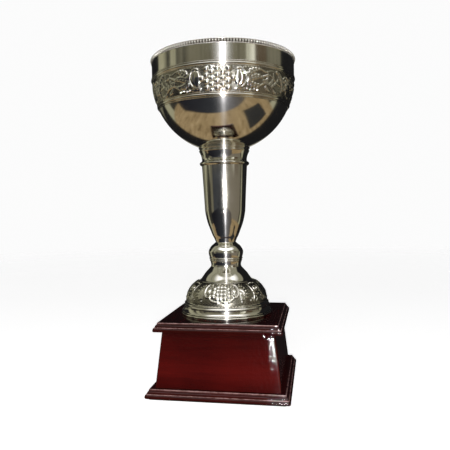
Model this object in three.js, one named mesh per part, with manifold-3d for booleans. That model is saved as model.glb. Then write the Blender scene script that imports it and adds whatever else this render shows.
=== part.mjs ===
// A silver-plated cup trophy on a moulded mahogany plinth, as the separate pieces it is assembled from.
// Millimetres, +Z up. The origin is the centre of the felt pad's underside.
import * as THREE from "three";
import { mergeVertices } from "three/addons/utils/BufferGeometryUtils.js";
import Module from "manifold-3d";

// ---- Driving dimensions ----
const GAP = 0.3; // room left between pieces that meet on a curved or turned face

// Plinth, from the bottom up. Half sizes are measured from the axis to a flat side.
const FELT_THICK = 1.2;
const FELT_HALF = 62.5;
const BOARD_THICK = 8;
const MOULD_INSET = 3.8; // how far a board's top edge lies inside its widest line
const BASE_HALF = 64.6;
const TOP_HALF = 58.2;
const BODY_HEIGHT = 50;
const BODY_HALF_BOTTOM = 56.6;
const BODY_HALF_TOP = 51;
const PANEL_THICK = 6;
const BLOCK_SIZE = 12;
const ACCESS_HOLE_R = 14; // in the base board, to reach the plinth nut
const BASE_Z = FELT_THICK;
const BODY_Z = BASE_Z + BOARD_THICK;
const TOP_Z = BODY_Z + BODY_HEIGHT;
const PLINTH_HEIGHT = TOP_Z + BOARD_THICK;

// Cup. Heights are above the plinth's top.
const BOWL_CENTRE_Z = 225; // centre of the bowl's lower half, which is part of a sphere
const BOWL_R = 68.3;
const SEAT_R = 67.4; // the shallow seat that the pressed band and its border wires lie in
const BOWL_INNER_R = 66.2;
const LIP_Z = 239.8; // the bowl's wall ends here, and the rim wire stands on it
const RIM_Z = 244;
const BAND_LOW_Z = 200.6;
const BAND_HIGH_Z = 221.4;
const WIRE_HEIGHT = 4.6;
const WIRE_PROUD = 0.8; // how far a border wire stands out of the bowl
const BEAD_R = 1.35; // the rim wire's beads
const BEAD_CENTRE_R = 68.25;
const COLLAR_BOTTOM_Z = 142.8;
const STEM_BOTTOM_Z = 68.8;
const KNOP_BOTTOM_Z = 54.6;
const NECK_BOTTOM_Z = 45;
const DOME_BOTTOM_Z = 12.8;
const FOOT_WALL = 1.3;
const FOOT_RIM_R = 44;
const FOOT_WIRE_R = 1.5;

// Fasteners
const ROD_R = 3;
const ROD_CLEAR_R = 3.4;
const ROD_TOP_Z = 155.5;
const NUT_WIDTH = 10; // across the flats
const NUT_HEIGHT = 5;
const WASHER_THICK = 1.6;
const PLINTH_WASHER_R = 15;
const FOOT_WASHER_R = 8.5;
const SCREW_INSET = 8; // from a glue block's outer corner
const SCREW_R = 1.75;
const SCREW_HEAD_R = 3.5;
const SCREW_HEAD_DEPTH = 2.4;
const SCREW_LENGTH = 25;
const SCREW_TIP = 3.5;

// Facets round a full turn
const BOWL_FACETS = 48;
const STEM_FACETS = 36;
const SMALL_FACETS = 16;
const ARC_STEPS = 4;

const wasm = await Module();
wasm.setup();

// ---- Materials ----
const metal = (color, roughness) =>
  new THREE.MeshStandardMaterial({ color, roughness, metalness: 1 });
const matt = (color, roughness) =>
  new THREE.MeshStandardMaterial({ color, roughness, metalness: 0 });
const silver = metal(0xc9c5b8, 0.08);
const steel = metal(0x9a9a9c, 0.35);
const mahogany = matt(0x46100f, 0.22);
const bareWood = matt(0xa9845c, 0.7);
const felt = matt(0x16241b, 0.95);

// ---- Geometry helpers ----

// Points on an arc about (centreR, centreZ), from one angle to another in degrees.
function arc(centreR, centreZ, radius, from, to, steps = ARC_STEPS) {
  return Array.from({ length: steps + 1 }, (_, i) => {
    const a = THREE.MathUtils.degToRad(from + ((to - from) * i) / steps);
    return [centreR + radius * Math.cos(a), centreZ + radius * Math.sin(a)];
  });
}

// Points on a smooth curve through a few [radius, height] points.
function smooth(through, steps) {
  const curve = new THREE.SplineCurve(
    through.map(([r, z]) => new THREE.Vector2(r, z)),
  );
  return curve.getPoints(steps).map((p) => [p.x, p.y]);
}

// Twice the area of an outline, positive when it runs anticlockwise.
const windingOf = (outline) =>
  outline.reduce((sum, [r, z], i) => {
    const [nextR, nextZ] = outline[(i + 1) % outline.length];
    return sum + r * nextZ - nextR * z;
  }, 0);

// Turns an outline of [radius, height] points about the Z axis.
function turned(outline, facets) {
  const ordered = windingOf(outline) > 0 ? outline : [...outline].reverse();
  const onAxis = ordered.some(([r]) => r === 0);
  let points = ordered;
  if (onAxis) {
    // An outline that meets the axis starts and ends there.
    const start = ordered.findIndex(
      ([r], i) =>
        r === 0 && ordered[(i + ordered.length - 1) % ordered.length][0] === 0,
    );
    points = [...ordered.slice(start), ...ordered.slice(0, start)];
  } else points = [...ordered, ordered[0]];
  const geometry = new THREE.LatheGeometry(
    points.map(([r, z]) => new THREE.Vector2(r, z)),
    facets,
  );
  return geometry.rotateX(Math.PI / 2);
}

// Sweeps an outline of [half size, height] points round a square, with mitred corners.
const squareTurned = (outline) =>
  turned(
    outline.map(([half, z]) => [half * Math.SQRT2, z]),
    4,
  ).rotateZ(Math.PI / 4);

function solidOf(geometry) {
  const bare = geometry.clone();
  bare.deleteAttribute("normal");
  bare.deleteAttribute("uv");
  const merged = mergeVertices(bare, 1e-3);
  return new wasm.Manifold(
    new wasm.Mesh({
      numProp: 3,
      vertProperties: merged.attributes.position.array,
      triVerts: new Uint32Array(merged.index.array),
    }),
  );
}

// Cuts each of the cutters out of a geometry.
function cut(geometry, ...cutters) {
  const solid = cutters.reduce(
    (left, cutter) => left.subtract(solidOf(cutter)),
    solidOf(geometry),
  );
  const mesh = solid.getMesh();
  return new THREE.BufferGeometry()
    .setAttribute(
      "position",
      new THREE.BufferAttribute(new Float32Array(mesh.vertProperties), 3),
    )
    .setIndex(new THREE.BufferAttribute(new Uint32Array(mesh.triVerts), 1));
}

// A box whose corners are moved: place(x, y, z) gets -1 or 1 for each and returns the corner.
function cornered(place) {
  const geometry = new THREE.BoxGeometry(2, 2, 2);
  const position = geometry.attributes.position;
  for (let i = 0; i < position.count; i++)
    position.setXYZ(
      i,
      ...place(position.getX(i), position.getY(i), position.getZ(i)),
    );
  return geometry;
}

const cylinder = (radius, low, high, facets = SMALL_FACETS) =>
  turned(
    [
      [0, low],
      [radius, low],
      [radius, high],
      [0, high],
    ],
    facets,
  );

function part(name, geometry, material) {
  const mesh = new THREE.Mesh(geometry, material);
  mesh.name = name;
  return mesh;
}

// ---- Cup ----

// Radius, at a height, of the bowl's surface that lies on a sphere of this size below its centre
// and on an upright cylinder above it.
const bowlAt = (sphereR, z) =>
  z < BOWL_CENTRE_Z
    ? Math.sqrt(sphereR ** 2 - (BOWL_CENTRE_Z - z) ** 2)
    : sphereR;

// Points up the bowl's surface between two heights.
const bowlWall = (sphereR, low, high, steps) =>
  Array.from({ length: steps + 1 }, (_, i) => {
    const z = low + ((high - low) * i) / steps;
    return [bowlAt(sphereR, z), z];
  });

function bowl() {
  const seatLow = BAND_LOW_Z - WIRE_HEIGHT;
  const seatHigh = BAND_HIGH_Z + WIRE_HEIGHT;
  const seatAngle = THREE.MathUtils.radToDeg(
    Math.asin((seatLow - BOWL_CENTRE_Z) / BOWL_R),
  );
  const underside = arc(0, BOWL_CENTRE_Z, BOWL_R, -90, seatAngle, 9);
  const inside = arc(0, BOWL_CENTRE_Z, BOWL_INNER_R, 0, -90, 11);
  underside[0][0] = inside[inside.length - 1][0] = 0;
  return turned(
    [
      ...underside,
      ...bowlWall(SEAT_R, seatLow, seatHigh, 4),
      [BOWL_R, seatHigh],
      [BOWL_R, LIP_Z],
      [BOWL_INNER_R, LIP_Z],
      ...inside,
    ],
    BOWL_FACETS,
  );
}

// The rim wire: a fillet, a row of beads (turned here as one reed) and a thin lip.
const rimBeadWire = () =>
  turned(
    [
      [BOWL_INNER_R, LIP_Z],
      [BEAD_CENTRE_R + 0.6, LIP_Z],
      [BEAD_CENTRE_R + 0.6, LIP_Z + 0.5],
      ...arc(BEAD_CENTRE_R, LIP_Z + 0.5 + BEAD_R, BEAD_R, -60, 60),
      [BEAD_CENTRE_R + 0.8, RIM_Z - 0.6],
      [BEAD_CENTRE_R + 0.5, RIM_Z],
      [BOWL_INNER_R + 0.4, RIM_Z],
      [BOWL_INNER_R, RIM_Z - 0.5],
    ],
    BOWL_FACETS,
  );

// A border wire of two reeds, lying in the bowl's seat.
function borderWire(low) {
  const back = bowlWall(SEAT_R + GAP, low + GAP, low + WIRE_HEIGHT - GAP, 1);
  const reed = (z) => [bowlAt(BOWL_R, z) + WIRE_PROUD, z];
  const valley = low + WIRE_HEIGHT / 2;
  return turned(
    [
      ...back.reverse(),
      reed(low + WIRE_HEIGHT * 0.25),
      [bowlAt(BOWL_R, valley), valley],
      reed(low + WIRE_HEIGHT * 0.75),
    ],
    BOWL_FACETS,
  );
}

const pressedBand = () =>
  turned(
    [
      ...bowlWall(BOWL_R, BAND_LOW_Z, BAND_HIGH_Z, 3),
      ...bowlWall(SEAT_R + GAP, BAND_LOW_Z, BAND_HIGH_Z, 3).reverse(),
    ],
    BOWL_FACETS,
  );

// The flanged nut brazed under the bowl, which the tie rod screws into.
function bowlBoss() {
  const under = (r) => [
    r,
    BOWL_CENTRE_Z - Math.sqrt((BOWL_R + GAP) ** 2 - r ** 2),
  ];
  const flangeR = 14;
  const hubR = 8;
  return turned(
    [
      [ROD_CLEAR_R, 146],
      [hubR, 146],
      [hubR, 153],
      [flangeR, 153],
      under(flangeR),
      under(hubR),
      under(ROD_CLEAR_R),
    ],
    SMALL_FACETS,
  );
}

// Ringed collar that the bowl sits in, with a spigot that centres the stem.
function bowlCollar() {
  const seatAt = (r) => [
    r,
    BOWL_CENTRE_Z - Math.sqrt((BOWL_R + GAP) ** 2 - r ** 2),
  ];
  return turned(
    [
      [18.6, 138],
      [19.8, 138],
      [19.8, COLLAR_BOTTOM_Z],
      [22.6, COLLAR_BOTTOM_Z],
      ...arc(22.6, 144.8, 1.6, -60, 60, 3),
      [22.3, 147],
      ...smooth(
        [
          [21.9, 148.6],
          [22.2, 151.4],
          [23.1, 153.6],
        ],
        3,
      ),
      [23.7, 154.2],
      [24.3, 156],
      [24.0, 157.6],
      [24.9, 158.4],
      [25.1, 160],
      seatAt(24.4),
      seatAt(18.6),
    ],
    STEM_FACETS,
  );
}

function stem() {
  const wall = 1.5;
  const outer = smooth(
    [
      [9.8, STEM_BOTTOM_Z],
      [12.7, 75.4],
      [15.9, 83.5],
      [18.6, 93.2],
      [20.1, 106],
      [21.1, 124],
      [22, COLLAR_BOTTOM_Z],
    ],
    11,
  );
  const inner = smooth(
    outer.map(([r, z]) => [r - wall, z]),
    8,
  );
  return turned([...outer, ...inner.reverse()], STEM_FACETS);
}

function knop() {
  const outer = smooth(
    [
      [16.2, KNOP_BOTTOM_Z],
      [16.9, 58.6],
      [16, 62.2],
      [12.8, 66.2],
      [9.8, STEM_BOTTOM_Z],
    ],
    9,
  );
  return turned(
    [...outer, [7.6, STEM_BOTTOM_Z], [12.6, 63], [13.4, KNOP_BOTTOM_Z]],
    STEM_FACETS,
  );
}

const neck = () =>
  turned(
    [
      [12.4, NECK_BOTTOM_Z],
      [14.8, NECK_BOTTOM_Z],
      [14.7, 47.4],
      [15.2, 50.2],
      [15.9, 51.2],
      [15.5, 52.6],
      [16.3, 53.4],
      [16.2, KNOP_BOTTOM_Z],
      [12.4, KNOP_BOTTOM_Z],
    ],
    STEM_FACETS,
  );

// The foot's spun shell: shoulder, pressed dome and stepped flange. Its top closes round the tie rod.
function footShell() {
  const domeR = 23.8;
  const domeCentre = [16, 10.5];
  const shoulder = smooth(
    [
      [14.8, NECK_BOTTOM_Z],
      [16.2, 43.3],
      [19.7, 40],
      [22.9, 36],
      [25.2, 32.4],
    ],
    6,
  );
  const dome = arc(...domeCentre, domeR, 66, 6, 6);
  const domeInside = arc(...domeCentre, domeR - FOOT_WALL, 6, 64, 5);
  const coveTop = [41, 8.2];
  const coveFoot = [43.1, 3.1 + GAP];
  return turned(
    [
      [ROD_CLEAR_R, NECK_BOTTOM_Z],
      ...shoulder,
      ...dome,
      [39.4, DOME_BOTTOM_Z - 0.6],
      [40.5, 11.2],
      [40, 10.2],
      [41.3, 9.2],
      coveTop,
      [41.6, 5.4],
      coveFoot,
      [42.2, 3.1 + GAP],
      [40.2, 5.2],
      [39.3, 9.6],
      ...domeInside,
      [23.6, 32.4],
      [18.4, 39.4],
      [13.6, 43],
      [ROD_CLEAR_R, 43],
    ],
    BOWL_FACETS,
  );
}

const footRimWire = () =>
  turned(
    [
      [40, 0],
      [FOOT_RIM_R - 0.4, 0],
      ...arc(
        FOOT_RIM_R - FOOT_WIRE_R,
        FOOT_WIRE_R,
        FOOT_WIRE_R,
        -40,
        90,
        3,
      ),
      [40, 2 * FOOT_WIRE_R],
    ],
    BOWL_FACETS,
  );

// ---- Fasteners ----

const washer = (outer, low) =>
  turned(
    [
      [ROD_CLEAR_R, low],
      [outer, low],
      [outer, low + WASHER_THICK],
      [ROD_CLEAR_R, low + WASHER_THICK],
    ],
    SMALL_FACETS,
  );

const hexNut = (low) =>
  cut(
    cylinder(NUT_WIDTH / Math.sqrt(3), low, low + NUT_HEIGHT, 6),
    cylinder(ROD_CLEAR_R, low - 1, low + NUT_HEIGHT + 1),
  );

// Countersunk wood screw that points up from the base board's underside, or the hole for it.
const screwShape = (room) =>
  turned(
    [
      [0, BASE_Z - (room ? 1 : 0)],
      [SCREW_HEAD_R + room, BASE_Z - (room ? 1 : 0)],
      [SCREW_HEAD_R + room, BASE_Z],
      [SCREW_R + room, BASE_Z + SCREW_HEAD_DEPTH],
      [SCREW_R + room, BASE_Z + SCREW_LENGTH - SCREW_TIP + room],
      [0, BASE_Z + SCREW_LENGTH + 3 * room],
    ].filter(([r, z], i, all) => i === 0 || r !== all[i - 1][0] || z !== all[i - 1][1]),
    SMALL_FACETS / 2,
  );

// ---- Plinth ----

// A board's edge from its top corner down: a fillet, a cove and a bullnose.
const moulding = (half, low) => [
  [half - MOULD_INSET, low + BOARD_THICK],
  [half - MOULD_INSET + 0.3, low + BOARD_THICK - 1.3],
  [half - 2.6, low + 5.2],
  [half - 1.3, low + 4.7],
  [half - 0.3, low + 3.9],
  [half, low + 2.4],
  [half - 0.4, low + 0.6],
  [half - 1, low],
];

const board = (half, low) => {
  const edge = moulding(half, low);
  return squareTurned([
    [0, low + BOARD_THICK],
    ...edge,
    [0, low],
  ]);
};

// Half size of the plinth body's outer face at its bottom (-1) or top (1).
const bodyHalf = (end) => (end < 0 ? BODY_HALF_BOTTOM : BODY_HALF_TOP);
const bodyZ = (end) => (end < 0 ? BODY_Z : TOP_Z);

// A mitred side panel that faces -Y and leans in with the body.
const sidePanel = () =>
  cornered((x, y, z) => {
    const half = bodyHalf(z) - (y > 0 ? PANEL_THICK : 0);
    return [x * (half - GAP / 2), -half, bodyZ(z)];
  });

// A glue block in the corner towards +X +Y, following the panels' lean.
const glueBlock = () =>
  cornered((x, y, z) => {
    const outer = bodyHalf(z) - PANEL_THICK - GAP;
    const at = (side) => (side > 0 ? outer : outer - BLOCK_SIZE);
    return [at(x), at(y), bodyZ(z)];
  });

// ---- Assembly ----
const trophy = new THREE.Group();

const cup = new THREE.Group();
cup.position.z = PLINTH_HEIGHT;
trophy.add(cup);
cup.add(
  part("bowl", bowl(), silver),
  part("rim_bead_wire", rimBeadWire(), silver),
  part("band_top_wire", borderWire(BAND_HIGH_Z), silver),
  part("pressed_band", pressedBand(), silver),
  part("band_bottom_wire", borderWire(BAND_LOW_Z - WIRE_HEIGHT), silver),
  part("bowl_boss", bowlBoss(), silver),
  part("bowl_collar", bowlCollar(), silver),
  part("stem", stem(), silver),
  part("knop", knop(), silver),
  part("neck", neck(), silver),
  part("foot_shell", footShell(), silver),
  part("foot_rim_wire", footRimWire(), silver),
);

const footWasherZ = 43 - WASHER_THICK;
const footNutZ = footWasherZ - NUT_HEIGHT;
const plinthWasherZ = -BOARD_THICK - WASHER_THICK;
const plinthNutZ = plinthWasherZ - NUT_HEIGHT;
const rodBottomZ = plinthNutZ - 4;
cup.add(
  part("tie_rod", cylinder(ROD_R, rodBottomZ, ROD_TOP_Z), steel),
  part("foot_washer", washer(FOOT_WASHER_R, footWasherZ), steel),
  part("foot_nut", hexNut(footNutZ), steel),
  part("plinth_washer", washer(PLINTH_WASHER_R, plinthWasherZ), steel),
  part("plinth_nut", hexNut(plinthNutZ), steel),
);

const corners = ["front_left", "front_right", "back_right", "back_left"];
const sides = ["front", "right", "back", "left"];
// Quarter turns that carry the +X +Y corner to each corner's place.
const cornerTurn = { back_right: 0, back_left: 1, front_left: 2, front_right: 3 };

// Where a corner's screw stands, from the axis, along X and along Y.
const screwAt = BODY_HALF_TOP - PANEL_THICK - GAP - SCREW_HEAD_R;
const screwHole = (sx, sy) =>
  screwShape(GAP).translate(sx * screwAt, sy * screwAt, 0);
const cornerSigns = {
  front_left: [-1, -1],
  front_right: [1, -1],
  back_right: [1, 1],
  back_left: [-1, 1],
};

trophy.add(
  part(
    "plinth_top_board",
    cut(
      board(TOP_HALF, TOP_Z),
      cylinder(ROD_CLEAR_R, TOP_Z - 1, PLINTH_HEIGHT + 1),
    ),
    mahogany,
  ),
  part(
    "plinth_base_board",
    cut(
      board(BASE_HALF, BASE_Z),
      cylinder(ACCESS_HOLE_R, BASE_Z - 1, BODY_Z + 1),
      ...corners.map((corner) => screwHole(...cornerSigns[corner])),
    ),
    mahogany,
  ),
  part(
    "felt_pad",
    squareTurned([
      [0, 0],
      [FELT_HALF, 0],
      [FELT_HALF, FELT_THICK],
      [0, FELT_THICK],
    ]),
    felt,
  ),
);

sides.forEach((side, quarter) => {
  const panel = part(`plinth_${side}_panel`, sidePanel(), mahogany);
  panel.rotation.z = (quarter * Math.PI) / 2;
  trophy.add(panel);
});

corners.forEach((corner) => {
  const block = part(
    `glue_block_${corner}`,
    cut(glueBlock(), screwHole(1, 1)),
    bareWood,
  );
  block.rotation.z = (cornerTurn[corner] * Math.PI) / 2;
  const screw = part(`base_screw_${corner}`, screwShape(0), steel);
  const [sx, sy] = cornerSigns[corner];
  screw.position.set(sx * screwAt, sy * screwAt, 0);
  trophy.add(block, screw);
});

export default trophy;
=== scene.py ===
import math

import bmesh
import bpy
import numpy as np
from mathutils import Euler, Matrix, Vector


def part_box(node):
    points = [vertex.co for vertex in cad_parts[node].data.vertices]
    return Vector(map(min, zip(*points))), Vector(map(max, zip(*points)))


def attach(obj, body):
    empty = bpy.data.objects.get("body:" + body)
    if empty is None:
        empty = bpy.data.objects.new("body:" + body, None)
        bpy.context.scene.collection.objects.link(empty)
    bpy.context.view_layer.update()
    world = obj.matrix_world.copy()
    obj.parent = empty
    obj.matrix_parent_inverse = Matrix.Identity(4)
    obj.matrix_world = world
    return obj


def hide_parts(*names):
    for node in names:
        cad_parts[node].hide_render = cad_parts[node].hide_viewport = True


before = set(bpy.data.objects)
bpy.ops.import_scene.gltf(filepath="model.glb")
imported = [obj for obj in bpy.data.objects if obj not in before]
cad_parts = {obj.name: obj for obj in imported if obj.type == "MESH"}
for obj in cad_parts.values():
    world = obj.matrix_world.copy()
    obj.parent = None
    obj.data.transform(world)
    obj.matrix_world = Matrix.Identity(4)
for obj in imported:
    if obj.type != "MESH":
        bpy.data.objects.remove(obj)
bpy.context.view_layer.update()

MM = 0.001
WELD = 1e-7  # metres, the reach within which a mesh's points are merged
SHARP_EDGE = 40  # degrees
CUP_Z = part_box("foot_rim_wire")[0].z / MM

# ---- Driving dimensions ----
BOWL_CENTRE_Z = 225
BOWL_R = 68.3
SEAT_R = 67.7
BOWL_INNER_R = 66.2
LIP_Z = 239.8
RIM_Z = 244
BAND_LOW_Z, BAND_HIGH_Z = 200.6, 221.4
WIRE_HEIGHT = 4.6
WALL_GAP = 0.3  # between the bowl and the pieces that fit on it
BEAD_COUNT = 168
BEAD_SEGMENTS = 14  # mesh steps across one bead
BEAD_ROWS = 15  # mesh rows up one bead
BEAD_Z = 242.1
BEAD_ZONE = 1.45  # half of the height that the beads fill
BEAD_ROOT_R = 67.9
BEAD_SIZE = (1.0, 1.5)  # half width and half height
BEAD_RISE = 1.6
DOME_CENTRE = (16, 10.5)  # the foot's pressed dome is an arc about this point
DOME_R = 23.8
DOME_ARC = (6, 63)  # degrees, from its foot to its top
FOOT_PATTERN_R = 36
PATTERN_REPEATS = 3
BAND_FACING = -84  # degrees about Z, where the middle of one repeat of the pattern stands
FOOT_FACING = -88

BOWL_SEGMENTS = 288  # mesh steps round a plain turned piece
CUP_SEGMENTS = 192
BAND_CELLS = (480, 64)  # mesh steps across and up one repeat of the pattern
FOOT_CELLS = (228, 66)

PLAIN_METAL_RELIEF = 2  # the "relief" of plain metal, above any recess that the material darkens (tarnished hollows on pressed silver, painted shade between the rim's beads)

BOARD_THICK = 8
BOARD_CORNER = 2.4
LEAST_CORNER = 0.35
PANEL_THICK = 6
PANEL_CORNER = 1.8
BODY_HALF_BOTTOM, BODY_HALF_TOP = 56.6, 51
FELT_CORNER = 4
ARRIS_REACH = 0.36  # how far from a board's arris the lacquer carries a painted highlight line

CAMERA_AT = (85.7, -485.2, 166.9)
CAMERA_YAW, CAMERA_PITCH, CAMERA_ROLL = -10.07, -1.67, -0.95  # degrees
CAMERA_LENS = 40.3
SENSOR = 36
AIM = (0, 0, 0.12)  # metres, where the soft box points
FLOOR_HALF = 2.4  # metres

FRONT = -80  # degrees about Z, the side that the trophy is lit from
FLOOR_GLOW = 0.8
SOFT_LIGHT = 0.4
STRIP_GLOW = 5
WINDOW_GLOW = 2.2
BACKDROP = (0.97, 0.97, 0.97)
CREAM, OLIVE, BROWN = (0.34, 0.33, 0.23), (0.15, 0.14, 0.10), (0.075, 0.05, 0.03)
DARK, SLATE = (0.035, 0.033, 0.027), (0.042, 0.045, 0.052)


# ---- Outlines, as rows of [radius, height] ----

def arc(centre_r, centre_z, radius, start, stop, steps=12):
    angle = np.radians(np.linspace(start, stop, steps + 1))
    return np.column_stack([centre_r + radius * np.cos(angle), centre_z + radius * np.sin(angle)])


def turned_about_z(x, y, degrees):
    angle = math.radians(degrees)
    return x * math.cos(angle) - y * math.sin(angle), x * math.sin(angle) + y * math.cos(angle)


def smooth(points, steps=8):
    """Points on a Catmull-Rom curve through the given ones, with so many steps from one to the next."""
    given = np.array(points, float)
    given = np.vstack([2 * given[0] - given[1], given, 2 * given[-1] - given[-2]])
    t = np.linspace(0, 1, steps, endpoint=False)[:, None]
    runs = []
    for a, b, c, d in zip(given, given[1:], given[2:], given[3:]):
        square, cube = 2 * a - 5 * b + 4 * c - d, 3 * b - a - 3 * c + d
        runs.append(0.5 * (2 * b + (c - a) * t + square * t**2 + cube * t**3))
    return np.vstack([*runs, given[-2]])


def eased(outline, radius, steps=4, sharp=25, most=0.45):
    """A closed outline with each corner that turns more than `sharp` degrees rounded off, over at most the
    part `most` of each side."""
    outline = np.asarray(outline, float)
    result = []
    for before, corner, after in zip(np.roll(outline, 1, 0), outline, np.roll(outline, -1, 0)):
        into, away = corner - before, after - corner
        lengths = np.linalg.norm(into), np.linalg.norm(away)
        cosine = into @ away / (lengths[0] * lengths[1] + 1e-9)
        turn = math.degrees(math.acos(np.clip(cosine, -1, 1)))
        if turn < sharp or corner[0] == 0:
            result.append(corner)
            continue
        start = corner - into * min(radius / lengths[0], most)
        stop = corner + away * min(radius / lengths[1], most)
        for t in np.linspace(0, 1, steps + 1):
            result.append((1 - t) ** 2 * start + 2 * t * (1 - t) * corner + t**2 * stop)
    return np.array(result)


def joined(*runs):
    return np.vstack([np.atleast_2d(np.asarray(run, float)) for run in runs])


def offset_inwards(run, wall):
    """A run of points moved sideways by the wall's thickness, to the left of its direction."""
    tangent = np.gradient(run, axis=0)
    tangent /= np.linalg.norm(tangent, axis=1)[:, None]
    return run + wall * np.column_stack([-tangent[:, 1], tangent[:, 0]])


# ---- Meshes ----

def piece_of(name, points, faces, replaced, material, relief=None):
    """A smooth-shaded piece, in the row frame, that stands for the CAD node `replaced`."""
    mesh = bpy.data.meshes.new(name)
    mesh.from_pydata((np.asarray(points).reshape(-1, 3) * MM).tolist(), [], faces)
    if relief is not None:
        values = mesh.attributes.new("relief", "FLOAT", "POINT")
        values.data.foreach_set("value", relief.ravel().astype(np.float32))
    mesh.shade_smooth()
    shape = bmesh.new()
    shape.from_mesh(mesh)
    bmesh.ops.remove_doubles(shape, verts=shape.verts, dist=WELD)
    bmesh.ops.recalc_face_normals(shape, faces=shape.faces)
    shape.to_mesh(mesh)
    shape.free()
    mesh.set_sharp_from_angle(angle=math.radians(SHARP_EDGE))
    piece = bpy.data.objects.new(name, mesh)
    bpy.context.scene.collection.objects.link(piece)
    mesh.materials.append(material)
    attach(piece, "root")
    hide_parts(replaced)


def ring_faces(rings, points):
    """Quads between rings, each a closed loop of points. The last `points` quads join the last ring to the
    first."""
    ring, point = np.meshgrid(np.arange(rings), np.arange(points), indexing="ij")
    next_ring, next_point = (ring + 1) % rings, (point + 1) % points
    corners = [ring * points + point, next_ring * points + point,
               next_ring * points + next_point, ring * points + next_point]
    return np.stack(corners, -1).reshape(-1, 4).tolist()


def turned(name, outline, segments, replaced, material, relief=None, first=0, facing=0):
    """A piece of the cup turned about Z from a closed outline that runs anticlockwise.
    `relief` says how far the outline's points from `first` on stand out, for each segment, counted from the
    direction `facing`. The material reads it back as the attribute "relief", PLAIN_METAL_RELIEF elsewhere."""
    outline = np.asarray(outline, float)
    tangent = np.roll(outline, -1, 0) - np.roll(outline, 1, 0)
    tangent /= np.linalg.norm(tangent, axis=1)[:, None] + 1e-12
    rise = np.zeros((segments, len(outline)))
    lift = np.full_like(rise, PLAIN_METAL_RELIEF)
    if relief is not None:
        patterned = slice(first, first + relief.shape[1])
        rise[:, patterned] = lift[:, patterned] = relief
    radius = outline[:, 0] + rise * tangent[:, 1]
    height = outline[:, 1] - rise * tangent[:, 0] + CUP_Z
    angle = (2 * np.pi * np.arange(segments) / segments + math.radians(facing))[:, None]
    points = np.stack([radius * np.cos(angle), radius * np.sin(angle), height], -1)
    faces = ring_faces(segments, len(outline))
    piece_of(name, points, faces, replaced, material, relief=lift)


# ---- Pressed ornament ----

class Relief:
    """Height field of one repeat of a pressed strip, in millimetres across and up."""

    def __init__(self, width, height, columns, rows):
        across = (np.arange(columns) / columns - 0.5) * width
        self.across, self.up = np.meshgrid(across, np.linspace(0, height, rows), indexing="ij")
        self.rise = np.zeros_like(self.across)

    def press(self, rise):
        self.rise = np.maximum(self.rise, rise)

    def offsets(self, at, tilt=0):
        angle = math.radians(tilt)
        x, y = self.across - at[0], self.up - at[1]
        return x * math.cos(angle) + y * math.sin(angle), y * math.cos(angle) - x * math.sin(angle)

    def dome(self, at, size, rise, tilt=0):
        x, y = self.offsets(at, tilt)
        self.press(rise * np.sqrt(np.clip(1 - (x / size[0]) ** 2 - (y / size[1]) ** 2, 0, None)))

    def fruit(self, at, size, rise):
        """A round fruit with a crease, inside a raised outline."""
        x, y = self.offsets(at)
        reach = np.hypot(x / size[0], y / size[1])
        body = rise * np.sqrt(np.clip(1 - reach**2, 0, None))
        crease = np.exp(-(((x - 0.25 * size[0] + 0.06 * y**2) / 0.55) ** 2)) * (reach < 0.92)
        self.press(body * (1 - 0.3 * crease))
        outline = (reach - 1.16) * min(size) / 0.75
        self.press(0.62 * rise * np.sqrt(np.clip(1 - outline**2, 0, None)) * (x > -0.55 * size[0]))

    def follow(self, path):
        """For every cell: how far along a path its nearest point lies, 0 to 1, and how far aside it is."""
        line = smooth(path, 10)
        steps = np.gradient(line, axis=0)
        steps /= np.linalg.norm(steps, axis=1)[:, None]
        x = self.across[..., None] - line[:, 0]
        y = self.up[..., None] - line[:, 1]
        nearest = np.argmin(x**2 + y**2, -1)
        x, y = (np.take_along_axis(offset, nearest[..., None], -1)[..., 0] for offset in (x, y))
        side = np.sign(y * steps[nearest, 0] - x * steps[nearest, 1])
        return nearest / (len(line) - 1), np.sqrt(x**2 + y**2) * side

    def ridge(self, path, width, rise, taper=0.5):
        along, aside = self.follow(path)
        half = width * (1 - taper * along)
        section = np.sqrt(np.clip(1 - (aside / half) ** 2, 0, None))
        self.press(rise * section * (1 - 0.3 * taper * along))

    def leaf(self, path, width, rise, lobes=5):
        """A leaf with a grooved midrib, lobed edges and a vein groove between two lobes."""
        along, aside = self.follow(path)
        half = width * np.sin(np.pi * along**0.75) ** 0.8
        notch = np.abs(np.sin(np.pi * (lobes * along - 0.55 * np.abs(aside) / width)))
        edge = np.maximum(half * (0.7 + 0.3 * notch), 1e-6)
        body = np.clip(1 - (aside / edge) ** 2, 0, None) ** 0.4
        veins = 1 - 0.45 * (1 - notch) ** 2
        midrib = 1 - 0.5 * np.exp(-((aside / 0.3) ** 2))
        self.press(rise * body * veins * midrib)

    def scroll(self, at, radius, turns, start, width, rise):
        """A spiral that winds in anticlockwise to a berry."""
        t = np.linspace(0, 1, 14)
        angle = math.radians(start) + 2 * np.pi * turns * t
        reach = radius * (1 - 0.78 * t)
        spiral = np.column_stack([at[0] + reach * np.cos(angle), at[1] + reach * np.sin(angle)])
        self.ridge(spiral, width, rise)
        self.dome(at, (radius * 0.24, radius * 0.24), rise * 1.1)

    def mirrored(self):
        """Adds the mirror image about the repeat's middle."""
        self.press(np.roll(self.rise[::-1], 1, axis=0))

    def finished(self):
        """The field round the whole piece from the middle of a repeat on, softened as pressed sheet is."""
        rise = (2 * self.rise + np.roll(self.rise, 1, 0) + np.roll(self.rise, -1, 0)) / 4
        padded = np.pad(rise, ((0, 0), (1, 1)), mode="edge")
        rise = (2 * padded[:, 1:-1] + padded[:, :-2] + padded[:, 2:]) / 4
        return np.tile(np.roll(rise, -len(rise) // 2, axis=0), (PATTERN_REPEATS, 1))


def hatching(field, pitch, slope, rise):
    """Fine slanting lines on the ground between the motifs."""
    phase = 2 * math.pi * (field.up + slope * np.abs(field.across)) / pitch
    return rise * (0.5 + 0.5 * np.sin(phase))


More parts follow.
